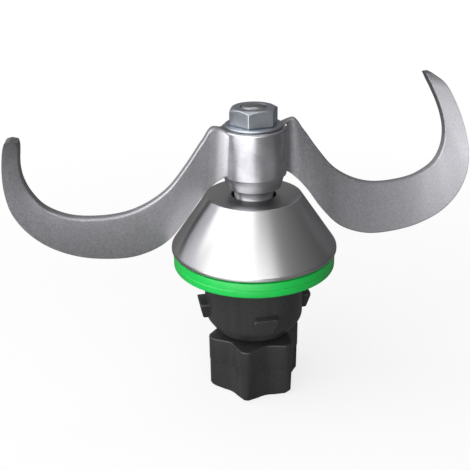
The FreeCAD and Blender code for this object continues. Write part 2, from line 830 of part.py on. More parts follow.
def make_cage(prefix, middle):
    """Ring with a round window for each ball."""
    half_wall = S["cage_wall"] / 2
    half_height = S["cage_height"] / 2
    body = turned_body(prefix + "_cage", ring_corners(
        BALL_CIRCLE - half_wall, BALL_CIRCLE + half_wall, middle - half_height, middle + half_height))
    window = new_sketch(body, prefix + "_window_outline", "YZ_Plane")
    add_circle(window, S["ball_radius"] + S["ball_clearance"], 0, middle)
    first = pocket(body, window, prefix + "_window", BALL_CIRCLE + half_wall + CUT_MARGIN)
    around(body, [first], prefix + "_windows", S["ball_count"])
    return body


def make_sleeves():
    """Sleeves that keep the two inner rings and the two outer rings apart."""
    foot = LOWER_BEARING + S["bearing_width"]
    bore = S["bearing_bore_radius"] + S["fit_clearance"]
    turned_body("inner_sleeve", ring_corners(bore, bore + S["sleeve_wall"], foot, UPPER_BEARING))
    outside = S["bearing_outer_radius"]
    turned_body("outer_sleeve", ring_corners(outside - S["outer_sleeve_wall"], outside, foot, UPPER_BEARING))


def make_retaining_ring():
    """Spring ring in the groove above the upper bearing, open on one side, with an eye at each end."""
    outside = S["bearing_outer_radius"] + S["retainer_reach"]
    inside = outside - S["retainer_wall"] - S["retainer_reach"]
    top = BEARING_TOP + S["retainer_thickness"]
    body = turned_body("retaining_ring", ring_corners(inside, outside, BEARING_TOP, top))
    half = S["retainer_opening"] / 2
    ear = S["retainer_ear_radius"]
    aside = half + S["retainer_ear_offset"]
    ears = new_sketch(body, "ear_outline", "XY_Plane", BEARING_TOP)
    for side in (1, -1):
        add_circle(ears, ear, inside, aside * side)
    pad(body, ears, "ears", S["retainer_thickness"])
    slot = new_sketch(body, "opening_outline", "XY_Plane", BEARING_TOP)
    end = outside + CUT_MARGIN
    add_outline(slot, [(0, -half), (end, -half), (end, half), (0, half)])
    pocket(body, slot, "opening", S["retainer_thickness"])
    eyes = new_sketch(body, "eye_outline", "XY_Plane", BEARING_TOP)
    for side in (1, -1):
        add_circle(eyes, S["retainer_hole_radius"], inside, aside * side)
    pocket(body, eyes, "eyes", S["retainer_thickness"])
    return body


def make_shaft_seal():
    """Lip seal: a flanged wall in the cone's socket, a web and a lip that runs on the spindle."""
    outside = S["bearing_outer_radius"]
    wall = outside - S["seal_wall"]
    web = SEAL_FOOT + S["seal_base"]
    half = S["seal_spring_radius"] + S["seal_lip_gap"]
    bead = SEAL_BACK + S["seal_spring_radius"]
    hook = SPRING_HEIGHT + half + S["seal_hook"] / 3
    top = SPRING_HEIGHT + half + S["seal_hook"]
    lip = S["journal_radius"] + S["seal_lip_gap"]
    inside = S["journal_radius"] + S["seal_wall"]
    return turned_body("shaft_seal", [
        (inside, SEAL_FOOT), (outside, SEAL_FOOT), (outside, SOCKET_ROOF), (wall, SOCKET_ROOF), (wall, web),
        (bead, web), (SEAL_BACK, SPRING_HEIGHT - half), (SEAL_BACK, SPRING_HEIGHT + half), (bead, hook),
        (bead, top), (inside, top), (lip, SPRING_HEIGHT), (inside, web),
    ])


def make_seal_spring():
    """Garter spring around the back of the lip."""
    body = new_body("seal_spring")
    sketch = new_sketch(body, "spring_outline")
    centre = SEAL_BACK + S["seal_spring_radius"] + S["fit_clearance"]
    add_circle(sketch, S["seal_spring_radius"], centre, SPRING_HEIGHT)
    revolve(body, sketch, "spring_turned")
    doc.recompute()
    return body


def make_cover_screws():
    """Countersunk screws that come up through the flange into the cone's bosses."""
    screws = []
    head = S["cover_screw_head_radius"]
    shank = S["cover_screw_radius"]
    for k in range(int(S["boss_count"].value)):
        place = around_axis(S["boss_circle"], S["lug_angle"], 360 * k / S["boss_count"].value)
        cone = doc.addObject("Part::Cone", "cover_screw_head_%d" % k)
        bind(cone, "Radius1", head)
        bind(cone, "Radius2", shank)
        bind(cone, "Height", head - shank)
        place_at(cone, place + (FLANGE_FOOT,))
        stem = doc.addObject("Part::Cylinder", "cover_screw_stem_%d" % k)
        bind(stem, "Radius", shank)
        bind(stem, "Height", S["flange_thickness"] + S["cover_screw_grip"])
        place_at(stem, place + (FLANGE_FOOT,))
        solid = join("cover_screw_blank_%d" % k, [cone, stem])
        key = doc.addObject("Part::Prism", "cover_screw_key_%d" % k)
        key.Polygon = 6
        bind(key, "Circumradius", S["cover_screw_key"])
        bind(key, "Height", S["flange_thickness"] / 3)
        place_at(key, place + (FLANGE_FOOT,))
        screw = doc.addObject("Part::Cut", "cover_screw_%d" % k)
        screw.Base = solid
        screw.Tool = key
        doc.recompute()
        screws.append(screw)
    return join("housing_screws", screws)


# The arm's two edges, in millimetres for the reach and rise that these two values give.
# Each row is one station: reach, offset to the side and height above the seam,
# first for the outer edge and then for the inner one.
DRAWN_REACH = 71.5
DRAWN_RISE = 45.6
STATIONS = [
    ((5.8, 1.9, 26.4), (5.8, 2.9, 35.4)),
    ((10.6, 1.9, 23.8), (9.9, 2.9, 39.2)),
    ((13.4, 1.85, 21.5), (12.4, 3.2, 39.9)),
    ((16.5, 1.8, 18.1), (15.6, 3.8, 36.3)),
    ((21.6, 1.6, 11.0), (20.5, 4.6, 29.6)),
    ((28.0, 2.2, 4.5), (27.0, 5.3, 22.2)),
    ((36.6, 2.5, 1.1), (36.9, 6.4, 17.1)),
    ((46.0, 2.85, 1.05), (47.3, 7.7, 16.3)),
    ((55.0, 3.2, 3.0), (55.5, 8.75, 17.9)),
    ((62.5, 3.6, 6.9), (61.5, 9.9, 21.8)),
    ((67.8, 4.6, 12.4), (64.0, 11.5, 26.1)),
    ((70.8, 6.3, 18.8), (65.15, 14.0, 30.6)),
    ((71.5, 8.9, 25.7), (65.2, 17.1, 34.8)),
    ((70.9, 12.3, 31.9), (64.7, 20.0, 38.2)),
    ((69.5, 16.8, 38.2), (63.9, 23.2, 41.5)),
    ((67.1, 23.3, 44.4), (63.2, 27.0, 44.6)),
    ((64.9, 28.6, 46.4), (63.0, 29.2, 46.1)),
]


def arm_point(place):
    """A drawn place of the arm, stretched to the reach and rise of the sheet."""
    reach, offset, height = place
    along = reach * S["arm_reach"].value / DRAWN_REACH
    low = S["arm_low"].value
    rise = SEAM.value + low + (height - low) * S["arm_rise"].value / DRAWN_RISE
    return Vector(along, offset, rise)


def root_flare(reach, face, radius):
    """How far a fillet of this radius, tangent to the hub, stands out from an arm's face at this reach."""
    hub = S["hub_radius"].value - S["root_depth"].value
    if abs(face + radius) >= hub + radius:
        return 0.0
    centre = math.sqrt((hub + radius) ** 2 - (face + radius) ** 2)
    touch = centre * hub / (hub + radius)
    depth = min(max(centre - reach, 0), centre - touch)
    return radius - math.sqrt(radius ** 2 - depth ** 2)


def arm_section(outer, inner, ahead):
    """Wire of one cross-section: a parallelogram cut square to the arm's side, with bevelled corners."""
    side = Vector(0, 1, 0)
    normal = (inner - outer).cross(ahead)
    normal.normalize()
    lean = max(abs(normal.dot(side)), LEAST_LEAN)
    half = S["arm_thickness"].value / lean / 2
    bevel = S["arm_edge"].value
    corners = []
    for edge, order in ((outer, (-1, 1)), (inner, (1, -1))):
        for way in order:
            radius = S["root_front" if way > 0 else "root_rear"].value
            flare = root_flare(edge.x, way * edge.y + half, radius)
            corners.append(edge + side * (way * (half + flare)))
    points = []
    for k in range(4):
        before = corners[k - 1] - corners[k]
        after = corners[(k + 1) % 4] - corners[k]
        points.append(corners[k] + before.normalize() * bevel)
        points.append(corners[k] + after.normalize() * bevel)
    return Part.makePolygon(points + [points[0]])


def smooth_line(places):
    """A smooth curve through places, with its parameter counting them."""
    curve = Part.BSplineCurve()
    curve.interpolate(Points=places, Parameters=[float(k) for k in range(len(places))])
    return curve


def make_arm():
    """One swept arm, drawn along +X with its outer face towards +Y."""
    edges = [smooth_line([arm_point(station[k]) for station in STATIONS]) for k in range(2)]
    last = len(STATIONS) - 1
    root = [k * ROOT_STEP for k in range(int(ROOT_STATIONS / ROOT_STEP))]
    sections = []
    for place in root + list(range(ROOT_STATIONS, last + 1)):
        outer, inner = [curve.value(place) for curve in edges]
        low = max(place - ROOT_STEP, 0)
        high = min(place + ROOT_STEP, last)
        ahead = sum((curve.value(high) - curve.value(low) for curve in edges), Vector(0, 0, 0))
        sections.append(arm_section(outer, inner, ahead))
    return Part.makeLoft(sections, True, False)


def make_blade():
    """Hub with a bore for the spindle's flats, and two arms half a turn apart."""
    hub = turned_body("blade_hub", ring_corners(0, S["hub_radius"], HUB_FOOT, HUB_TOP))
    round_edges(hub, [(S["hub_radius"], HUB_TOP)], "hub_rounding_edge", S["hub_rounding"])
    double_flat_bore(hub, "hub_bore", S["bearing_bore_radius"], S["seat_flats"], HUB_FOOT, S["hub_height"])
    arms = []
    shape = make_arm()
    for k in range(2):
        arm = doc.addObject("Part::Feature", "arm_%d" % k)
        arm.Shape = shape
        arm.Placement = Placement(Vector(0, 0, 0), Rotation(Vector(0, 0, 1), S["arm_angle"].value + 180 * k))
        arms.append(arm)
    return join("blade", [hub] + arms)


make_blade()
make_nut()
make_washer()
make_spindle()
make_collar()
make_cone()
make_seal_ring()
make_housing()
make_coupling()
make_coupling_screw()
make_coupling_washer()
make_bearing("upper", UPPER_BEARING)
make_bearing("lower", LOWER_BEARING)
make_sleeves()
make_retaining_ring()
make_shaft_seal()
make_seal_spring()
make_cover_screws()

NODES = [
    "blade", "hex_nut", "washer", "spindle", "spacer_collar", "cone_cover", "seal_ring", "bearing_housing",
    "drive_coupling", "coupling_screw", "coupling_washer", "inner_sleeve", "outer_sleeve", "retaining_ring",
    "shaft_seal", "seal_spring", "housing_screws",
]
for prefix in ("upper", "lower"):
    for name in ("outer_ring", "inner_ring", "balls", "cage", "upper_shield", "lower_shield"):
        NODES.append(prefix + "_" + name)


def export_nodes():
    """Check every object and write one STEP file for each node."""
    doc.recompute()
    for item in doc.Objects:
        if "Invalid" in item.State or "Error" in item.State:
            raise RuntimeError("%s did not build: %s" % (item.Label, item.State))
    os.makedirs("parts", exist_ok=True)
    for name in NODES:
        item = next(entry for entry in doc.Objects if entry.Label == name)
        shape = item.Shape
        if shape.isNull() or not shape.isValid():
            raise RuntimeError("%s has no sound shape" % name)
        shape.exportStep("parts/%s.step" % name)


export_nodes()
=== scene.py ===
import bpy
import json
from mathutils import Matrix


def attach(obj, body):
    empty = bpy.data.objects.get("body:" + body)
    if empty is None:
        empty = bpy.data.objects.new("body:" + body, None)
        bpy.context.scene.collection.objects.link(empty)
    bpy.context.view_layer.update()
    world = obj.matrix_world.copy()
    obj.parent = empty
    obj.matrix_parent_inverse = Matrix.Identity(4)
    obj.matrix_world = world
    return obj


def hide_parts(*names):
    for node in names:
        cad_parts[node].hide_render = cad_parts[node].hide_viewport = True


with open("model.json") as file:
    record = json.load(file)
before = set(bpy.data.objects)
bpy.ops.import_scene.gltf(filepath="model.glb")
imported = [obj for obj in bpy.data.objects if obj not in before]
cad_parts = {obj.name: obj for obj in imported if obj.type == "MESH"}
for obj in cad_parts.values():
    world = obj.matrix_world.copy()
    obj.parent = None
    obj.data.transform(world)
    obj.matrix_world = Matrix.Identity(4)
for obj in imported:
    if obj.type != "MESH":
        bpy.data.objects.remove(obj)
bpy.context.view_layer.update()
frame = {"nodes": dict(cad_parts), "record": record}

import json
import math

import bmesh
import bpy
from mathutils import Matrix, Vector

# A blade unit for the bowl of a food processor. Shapes are drawn in millimetres, with the axis on Z and the foot of
# the drive star at 0, and mesh_from turns them into metres. Materials, lights and the camera are in metres.
MM = 0.001
MICRON = 0.001 * MM
SCENE = bpy.context.scene
RECORD = frame["record"]

# Heights. They count from the seam between the cone and the seal ring.
SEAM = 49.3
BARREL_FOOT = SEAM - 27.2
FLANGE_FOOT = SEAM - 3
CONE_TOP = SEAM + 17.6
COLLAR_FOOT = CONE_TOP + 2.7
HUB_FOOT = SEAM + 24.2
HUB_TOP = SEAM + 38.6
NUT_FOOT = SEAM + 39.5
NUT_TOP = SEAM + 44.5

# Radii that several pieces share.
HUB_RADIUS = 9.9
STUD_BORE = 4.05

# Where the first lug, the first corner of the nut and the first point of the star are, in degrees from X.
LUG_ANGLE = 11
NUT_ANGLE = 17
STAR_ANGLE = -102


# Shapes.

def mesh_from(name, points, faces):
    """A mesh in metres from points in millimetres."""
    mesh = bpy.data.meshes.new(name)
    mesh.from_pydata([Vector(p) * MM for p in points], [], faces)
    mesh.validate()
    mesh.update()
    return mesh


def join_meshes(name, meshes):
    """One mesh of several shells."""
    work = bmesh.new()
    for mesh in meshes:
        work.from_mesh(mesh)
    joined = bpy.data.meshes.new(name)
    work.to_mesh(joined)
    work.free()
    return joined


def around(radius, degrees):
    """The point at this angle on a circle."""
    angle = math.radians(degrees)
    return radius * math.cos(angle), radius * math.sin(angle)


def fillet(corners, k, rounding, most=0.49):
    """The arc at one corner of a closed outline: its two ends, its middle, its radius and how far it turns.

    An arc takes up no more than the given share of the sides that it joins.
    """
    here = Vector(corners[k][:2])
    before = Vector(corners[k - 1][:2]) - here
    after = Vector(corners[(k + 1) % len(corners)][:2]) - here
    half = before.angle(after) / 2
    reach = min(rounding / math.tan(half), before.length * most, after.length * most)
    radius = reach * math.tan(half)
    start = here + before.normalized() * reach
    end = here + after.normalized() * reach
    middle = here + (before.normalized() + after.normalized()).normalized() * (radius / math.sin(half))
    side = 1 if before.x * after.y - before.y * after.x < 0 else -1
    return start, end, middle, radius, side * (math.pi - 2 * half)


def rounded(corners, steps, most):
    """An outline of (radius, height, rounding) with each corner turned into an arc of even steps."""
    result = []
    for k, (radius, height, rounding) in enumerate(corners):
        if rounding <= 0:
            result.append(Vector((radius, height)))
            continue
        start, _, middle, _, turn = fillet(corners, k, rounding, most)
        arm = start - middle
        for j in range(steps + 1):
            c, s = math.cos(turn * j / steps), math.sin(turn * j / steps)
            result.append(middle + Vector((arm.x * c - arm.y * s, arm.x * s + arm.y * c)))
    return result


def round_polygon(corners, steps=4, least=0.01):
    """A polygon of (x, y, rounding), with the same number of points whatever the roundings are."""
    result = []
    for k, (_, _, rounding) in enumerate(corners):
        start, end, middle, radius, _ = fillet(corners, k, max(rounding, least))
        for j in range(steps + 1):
            f = j / steps
            chord = start * (1 - f) + end * f
            result.append(middle + (chord - middle).normalized() * radius)
    return result


def inset(corners, amount):
    """Move every side of a polygon, listed counter-clockwise, inwards."""
    result = []
    for k, (x, y, rounding) in enumerate(corners):
        here = Vector((x, y))
        before = (here - Vector(corners[k - 1][:2])).normalized()
        after = (Vector(corners[(k + 1) % len(corners)][:2]) - here).normalized()
        bend = 1 + before.dot(after)
        normal = Vector((-before.y - after.y, before.x + after.x))
        moved = here + normal * (amount / bend)
        result.append((moved.x, moved.y, rounding))
    return result


def ring_like(outline, radius):
    """A circle with its points in the directions of the outline's points."""
    return [p.normalized() * radius for p in outline]


def quads(rows, width, closed):
    """The faces between rows of points that are closed loops. A closed stack joins its last row to its first."""
    faces = []
    for j in range(rows if closed else rows - 1):
        n = (j + 1) % rows
        for k in range(width):
            m = (k + 1) % width
            faces.append([j * width + k, j * width + m, n * width + m, n * width + k])
    return faces


def caps(rows, width):
    """The faces that shut the two ends of an open stack of rows."""
    return [list(reversed(range(width))), [(rows - 1) * width + k for k in range(width)]]


def loft(rings, closed=True):
    """A shell through rings of (points, height), either back to the first ring or shut by two end faces."""
    points = []
    for outline, height in rings:
        points += [(p.x, p.y, height(p) if callable(height) else height) for p in outline]
    size = len(rings), len(rings[0][0])
    return points, quads(*size, closed) + ([] if closed else caps(*size))


def lathe(name, corners, segments=144, steps=5, most=0.49):
    """A closed ring turned about Z from an outline that is listed from its foot outwards and up."""
    outline = rounded(corners, steps, most)
    points = []
    for j in range(segments):
        angle = 2 * math.pi * j / segments
        points += [(p.x * math.cos(angle), p.x * math.sin(angle), p.y) for p in outline]
    faces = [[a, d, c, b] for a, b, c, d in quads(segments, len(outline), closed=True)]
    return mesh_from(name, points, faces)


def spline(values, t):
    """A point on a smooth curve through the values, at index t, that allows for how far apart they are."""
    def distance(a, b):
        return max((a - b).length, 1e-6)

    count = len(values)
    k = min(int(t), count - 2)
    f = t - k
    p1, p2 = values[k], values[k + 1]
    p0 = values[k - 1] if k > 0 else p1 * 2 - p2
    p3 = values[k + 2] if k + 2 < count else p2 * 2 - p1
    d1, d2, d3 = distance(p0, p1), distance(p1, p2), distance(p2, p3)
    m1 = ((p1 - p0) / d1 + (p2 - p1) / d2 - (p2 - p0) / (d1 + d2)) * d2
    m2 = ((p2 - p1) / d2 + (p3 - p2) / d3 - (p3 - p1) / (d2 + d3)) * d2
    return (p1 * (2 * f**3 - 3 * f**2 + 1) + m1 * (f**3 - 2 * f**2 + f)
            + p2 * (3 * f**2 - 2 * f**3) + m2 * (f**3 - f**2))


# Nodes.

def feed(tree, socket, value):
    """Link another node's output to a socket, or set the socket to a plain value."""
    if isinstance(value, bpy.types.NodeSocket):
        tree.links.new(value, socket)
    else:
        socket.default_value = value


def add_node(tree, kind, feeds=None, **settings):
    """A new node with these settings. The feeds say what its inputs get, by name or number."""
    item = tree.nodes.new(kind)
    for key, value in settings.items():
        setattr(item, key, value)
    for key, value in (feeds or {}).items():
        feed(tree, item.inputs[key], value)
    return item


def calculated(tree, operation, *values):
    """The outcome of one Math node."""
    return add_node(tree, "ShaderNodeMath", dict(enumerate(values)), operation=operation).outputs[0]


def mapped(tree, source, start, stop, low=0.0, high=1.0):
    """A value carried over from one range to another, and held at the ends."""
    feeds = {"Value": source, "From Min": start, "From Max": stop, "To Min": low, "To Max": high}
    return add_node(tree, "ShaderNodeMapRange", feeds).outputs["Result"]


def between(tree, share, first, second):
    """One value where the share is 0, another where it is 1."""
    return add_node(tree, "ShaderNodeMix", {0: share, 2: first, 3: second}, data_type="FLOAT").outputs[0]


def position(tree):
    """The piece's own coordinates, in metres, which move with it."""
    return add_node(tree, "ShaderNodeTexCoord").outputs["Object"]


def split(tree, vector):
    """The X, Y and Z of a vector."""
    return add_node(tree, "ShaderNodeSeparateXYZ", {0: vector}).outputs


def axis_distance(tree):
    """How far the surface is from the Z axis, in metres."""
    flat = add_node(tree, "ShaderNodeVectorMath", {0: position(tree), 1: (1, 1, 0)}, operation="MULTIPLY")
    return add_node(tree, "ShaderNodeVectorMath", {0: flat.outputs[0]}, operation="LENGTH").outputs["Value"]


def from_axis(tree, near, far):
    """0 nearer to the Z axis than one distance in metres, 1 beyond the other."""
    return mapped(tree, axis_distance(tree), near, far)


def noise(tree, scale, detail, rough, stretch=None):
    """Noise over the piece's own coordinates, optionally stretched along an axis."""
    source = position(tree)
    if stretch:
        source = add_node(tree, "ShaderNodeMapping", {"Vector": source, "Scale": stretch}).outputs[0]
    feeds = {"Vector": source, "Scale": scale, "Detail": detail, "Roughness": rough}
    return add_node(tree, "ShaderNodeTexNoise", feeds).outputs["Fac"]


def turned(tree, scale_round, scale_up):
    """Noise drawn out around Z, as turning leaves it."""
    x, y, z = split(tree, position(tree))
    place = add_node(tree, "ShaderNodeCombineXYZ", {
        "X": calculated(tree, "MULTIPLY", calculated(tree, "ARCTAN2", y, x), scale_round),
        "Y": calculated(tree, "MULTIPLY", axis_distance(tree), scale_up),
        "Z": calculated(tree, "MULTIPLY", z, scale_up)})
    feeds = {"Vector": place.outputs[0], "Scale": 1.0, "Detail": 3.0}
    return add_node(tree, "ShaderNodeTexNoise", feeds).outputs["Fac"]


def spread(tree, source, low, high):
    """Stretch a noise, whose values lie around 0.5, onto the range from low to high."""
    return mapped(tree, source, 0.3, 0.7, low, high)


def tint(tree, source, dark, light):
    """A colour that goes from dark to light as a noise does."""
    mix = add_node(tree, "ShaderNodeMix", {0: spread(tree, source, 0, 1)}, data_type="RGBA")
    first, second = (socket for socket in mix.inputs if socket.type == "RGBA")
    first.default_value, second.default_value = (*dark, 1), (*light, 1)
    return next(socket for socket in mix.outputs if socket.type == "RGBA")


# Materials, one for each finish.

def new_material(name, metallic):
    """An empty material with a shader."""
    material = bpy.data.materials.new(name)
    material.use_nodes = True
    tree = material.node_tree
    tree.nodes.clear()
    shader = add_node(tree, "ShaderNodeBsdfPrincipled", {"Metallic": metallic})
    add_node(tree, "ShaderNodeOutputMaterial", {0: shader.outputs[0]})
    return material, tree, shader


def surface(tree, shader, color, rough, relief, strength, depth):
    """What every finish has: a colour, a roughness and a fine relief."""
    bump = add_node(tree, "ShaderNodeBump", {"Height": relief, "Strength": strength, "Distance": depth})
    for key, value in (("Base Color", color), ("Roughness", rough), ("Normal", bump.outputs[0])):
        feed(tree, shader.inputs[key], value)


def satin_steel():
    """Cast stainless steel: blasted and grainy on the arms, turned smooth on the hub, with painted shade that darkens
    it towards the tips.
    """
    material, tree, shader = new_material("satin_steel", 1.0)
    tip_foot, tip_top, painted_tip_shade = SEAM + 24, SEAM + 46, 0.55
    blasted = from_axis(tree, HUB_RADIUS * MM, (HUB_RADIUS + 0.9) * MM)
    grain = noise(tree, 1900, 3.0, 0.75)
    rings = turned(tree, 3.0, 5000)
    mottle = calculated(tree, "ADD", noise(tree, 150, 4.0, 0.6), 0.12)
    color = tint(tree, between(tree, blasted, mottle, grain), (0.36, 0.356, 0.38), (0.54, 0.534, 0.565))
    height = split(tree, position(tree))["Z"]
    # Painted shade: the colour is darkened to 0.55 of itself high up and far out on the arms, towards their tips.
    up = mapped(tree, height, tip_foot * MM, tip_top * MM)
    tip = calculated(tree, "MULTIPLY", up, from_axis(tree, 0.05, 0.06))
    shaded = add_node(tree, "ShaderNodeVectorMath", {0: color, "Scale": between(tree, tip, 1.0, painted_tip_shade)},
                      operation="SCALE")
    rough = between(tree, blasted, spread(tree, rings, 0.27, 0.34), spread(tree, grain, 0.44, 0.60))
    surface(tree, shader, shaded.outputs[0], rough, between(tree, blasted, rings, grain),
            between(tree, blasted, 0.012, 0.34), 40 * MICRON)
    return material


def polished_steel():
    """Turned and polished stainless steel: a fine grain with faint rings around the axis."""
    material, tree, shader = new_material("polished_steel", 1.0)
    rings = turned(tree, 40.0, 9000)
    grain = noise(tree, 3000, 3.0, 0.7)
    color = tint(tree, grain, (0.50, 0.50, 0.505), (0.54, 0.54, 0.545))
    surface(tree, shader, color, spread(tree, rings, 0.29, 0.34), grain, 0.08, 20 * MICRON)
    return material


def plain_steel(name, color, smooth, rough):
    """Turned steel, which goes from smooth to rough in rings."""
    material, tree, shader = new_material(name, 1.0)
    rings = turned(tree, 2.0, 6000)
    color = tint(tree, rings, color, [min(c * 1.12, 1) for c in color])
    surface(tree, shader, color, spread(tree, rings, smooth, rough), rings, 0.1, 20 * MICRON)
    return material


def nut_steel():
    """Zinc-plated steel, slightly blue."""
    material, tree, shader = new_material("nut_steel", 1.0)
    grain = noise(tree, 1900, 4.0, 0.65)
    color = tint(tree, noise(tree, 260, 3.0, 0.55), (0.40, 0.43, 0.475), (0.485, 0.52, 0.56))
    surface(tree, shader, color, spread(tree, grain, 0.30, 0.46), grain, 0.15, 30 * MICRON)
    return material


def moulded(name, dark, light, smooth, rough, strength=0.07, stretch=None, gloss=0.5):
    """Moulded plastic or rubber with a fine eroded texture."""
    material, tree, shader = new_material(name, 0.0)
    shader.inputs["Specular IOR Level"].default_value = gloss
    grain = noise(tree, 1400, 4.0, 0.6)
    color = tint(tree, noise(tree, 170, 3.0, 0.55, stretch), dark, light)
    surface(tree, shader, color, spread(tree, grain, smooth, rough), grain, strength, 30 * MICRON)
    return material


MATERIALS = {
    "satin_steel": satin_steel(),
    "polished_steel": polished_steel(),
    "shaft_steel": plain_steel("shaft_steel", (0.47, 0.475, 0.49), 0.28, 0.38),
    "bearing_steel": plain_steel("bearing_steel", (0.62, 0.62, 0.64), 0.12, 0.2),
    "nut_steel": nut_steel(),
    "green_rubber": moulded("green_rubber", (0.007, 0.49, 0.065), (0.01, 0.55, 0.085), 0.27, 0.33,
                            strength=0.06, gloss=0.65),
    "black_rubber": moulded("black_rubber", (0.012, 0.012, 0.012), (0.02, 0.02, 0.02), 0.5, 0.65),
    "black_plastic": moulded("black_plastic", (0.029, 0.029, 0.0295), (0.043, 0.043, 0.044), 0.26, 0.31,
                             strength=0.03, stretch=(1, 1, 0.04)),
    "cage_plastic": moulded("cage_plastic", (0.6, 0.56, 0.45), (0.68, 0.64, 0.54), 0.4, 0.5),
}


# Pieces, and the CAD nodes that they stand for.

PLACED = set()


def slot_of(name):
    """The material slot of a CAD node."""
    return next(entry["material_slot"] for entry in RECORD["subparts"] if entry["node"] == name)


def body_of(name):
    """The body that carries a CAD node."""
    return next(body for body, members in RECORD["behaviour"]["bodies"].items() if name in members)


def place_piece(name, mesh, node_name, sharp_from=35):
    """Link a finished mesh, dress and shade it, and let it stand for a CAD node on that node's body."""
    item = bpy.data.objects.new(name, mesh)
    SCENE.collection.objects.link(item)
    slot = slot_of(node_name)
    mesh.materials.clear()
    mesh.materials.append(MATERIALS[slot])
    mesh.shade_smooth()
    mesh.set_sharp_from_angle(angle=math.radians(sharp_from))
    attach(item, body_of(node_name))
    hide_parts(node_name)
    PLACED.add(node_name)


def dress_nodes():
    """Every CAD node gets its slot's material."""
    for entry in RECORD["subparts"]:
        item = frame["nodes"][entry["node"]]
        item.data.materials.clear()
        item.data.materials.append(MATERIALS[entry["material_slot"]])


def around_tree():
    """The Geometry Nodes tree that repeats a piece evenly around the Z axis, in one finish."""
    tree = bpy.data.node_groups.new("repeat_around_axis", "GeometryNodeTree")
    for name, kind in (("Piece", "Geometry"), ("Count", "Int"), ("First angle", "Float"), ("Finish", "Material")):
        tree.interface.new_socket(name, in_out="INPUT", socket_type="NodeSocket" + kind)
    tree.interface.new_socket("Pieces", in_out="OUTPUT", socket_type="NodeSocketGeometry")
    asked = tree.nodes.new("NodeGroupInput").outputs
    points = add_node(tree, "GeometryNodePoints", {"Count": asked["Count"]})
    index = add_node(tree, "GeometryNodeInputIndex")
    step = calculated(tree, "DIVIDE", 2 * math.pi, asked["Count"])
    turn = calculated(tree, "MULTIPLY_ADD", index.outputs[0], step, asked["First angle"])
    about_z = add_node(tree, "ShaderNodeCombineXYZ", {"Z": turn})
    copies = add_node(tree, "GeometryNodeInstanceOnPoints", {
        "Points": points.outputs[0], "Instance": asked["Piece"], "Rotation": about_z.outputs[0]})
    solid = add_node(tree, "GeometryNodeRealizeInstances", {0: copies.outputs[0]})
    finish = add_node(tree, "GeometryNodeSetMaterial", {"Geometry": solid.outputs[0], "Material": asked["Finish"]})
    add_node(tree, "NodeGroupOutput", {0: finish.outputs[0]})
    return tree


AROUND = around_tree()


def repeated(name, mesh, count, first, node_name):
    """The plain mesh that the tree makes of one piece: so many, from the first one's angle in degrees."""
    source = bpy.data.objects.new(name + "_one", mesh)
    SCENE.collection.objects.link(source)
    modifier = source.modifiers.new("repeat", "NODES")
    modifier.node_group = AROUND
    wanted = {"Count": count, "First angle": math.radians(first), "Finish": MATERIALS[slot_of(node_name)]}
    for socket in AROUND.interface.items_tree:
        if socket.name in wanted:
            modifier[socket.identifier] = wanted[socket.name]
    depsgraph = bpy.context.evaluated_depsgraph_get()
    result = bpy.data.meshes.new_from_object(source.evaluated_get(depsgraph))
    result.name = name
    source.modifiers.remove(modifier)
    bpy.data.objects.remove(source)
    return result


# Blade: one casting of a round hub and two upswept arms, half a turn apart.

# An arm's outer and inner edge from root to tip, each as (reach, offset, height over the seam), for an arm that
# reaches along X. The offset is the middle of its thickness, which lies along Y.
DRAWN = [
    ((5.8, 1.9, 26.4), (5.8, 2.9, 35.4)),
    ((10.6, 1.9, 23.8), (9.9, 2.9, 39.2)),
    ((13.4, 1.85, 21.5), (12.4, 3.2, 39.9)),
    ((16.5, 1.8, 18.1), (15.6, 3.8, 36.3)),
    ((21.6, 1.6, 11.0), (20.5, 4.6, 29.6)),
    ((28.0, 2.2, 4.5), (27.0, 5.3, 22.2)),
    ((36.6, 2.5, 1.1), (36.9, 6.4, 17.1)),
    ((46.0, 2.85, 1.05), (47.3, 7.7, 16.3)),
    ((55.0, 3.2, 3.0), (55.5, 8.75, 17.9)),
    ((62.5, 3.6, 6.9), (61.5, 9.9, 21.8)),
    ((67.8, 4.6, 12.4), (64.0, 11.5, 26.1)),
    ((70.8, 6.3, 18.8), (65.15, 14.0, 30.6)),
    ((71.5, 8.9, 25.7), (65.2, 17.1, 34.8)),
    ((70.9, 12.3, 31.9), (64.7, 20.0, 38.2)),
    ((69.5, 16.8, 38.2), (63.9, 23.2, 41.5)),
    ((67.1, 23.3, 44.4), (63.2, 27.0, 44.6)),
    ((64.9, 28.6, 46.4), (63.0, 29.2, 46.1)),
]
ARM_ANGLE = 8
ARM_THICKNESS = 3.1
LEAST_LEAN = 0.64
ARM_EDGES = (0.55, 0.55, 1.1, 0.7)
ROOT_STATIONS, ROOT_ROWS, ARM_ROWS = 3, 70, 130
ROOT_FRONT, ROOT_REAR, ROOT_DEPTH = 6.0, 2.5, 0.15


def root_flare(reach, face, radius):
    """How far a fillet of this radius, tangent to the hub, stands out from an arm's face at this reach."""
    hub = HUB_RADIUS - ROOT_DEPTH
    if abs(face + radius) >= hub + radius:
        return 0.0
    centre = math.sqrt((hub + radius) ** 2 - (face + radius) ** 2)
    touch = centre * hub / (hub + radius)
    depth = min(max(centre - reach, 0), centre - touch)
    return radius - math.sqrt(radius ** 2 - depth ** 2)


def soft_corner(before, here, after, rounding, steps=5, most=0.45):
    """A curve that cuts one corner of a section and takes up no more than the given share of each side."""
    to_before, to_after = before - here, after - here
    start = here + to_before.normalized() * min(rounding, to_before.length * most)
    end = here + to_after.normalized() * min(rounding, to_after.length * most)
    shares = [i / steps for i in range(steps + 1)]
    return [start * (1 - f) ** 2 + here * 2 * f * (1 - f) + end * f * f for f in shares]


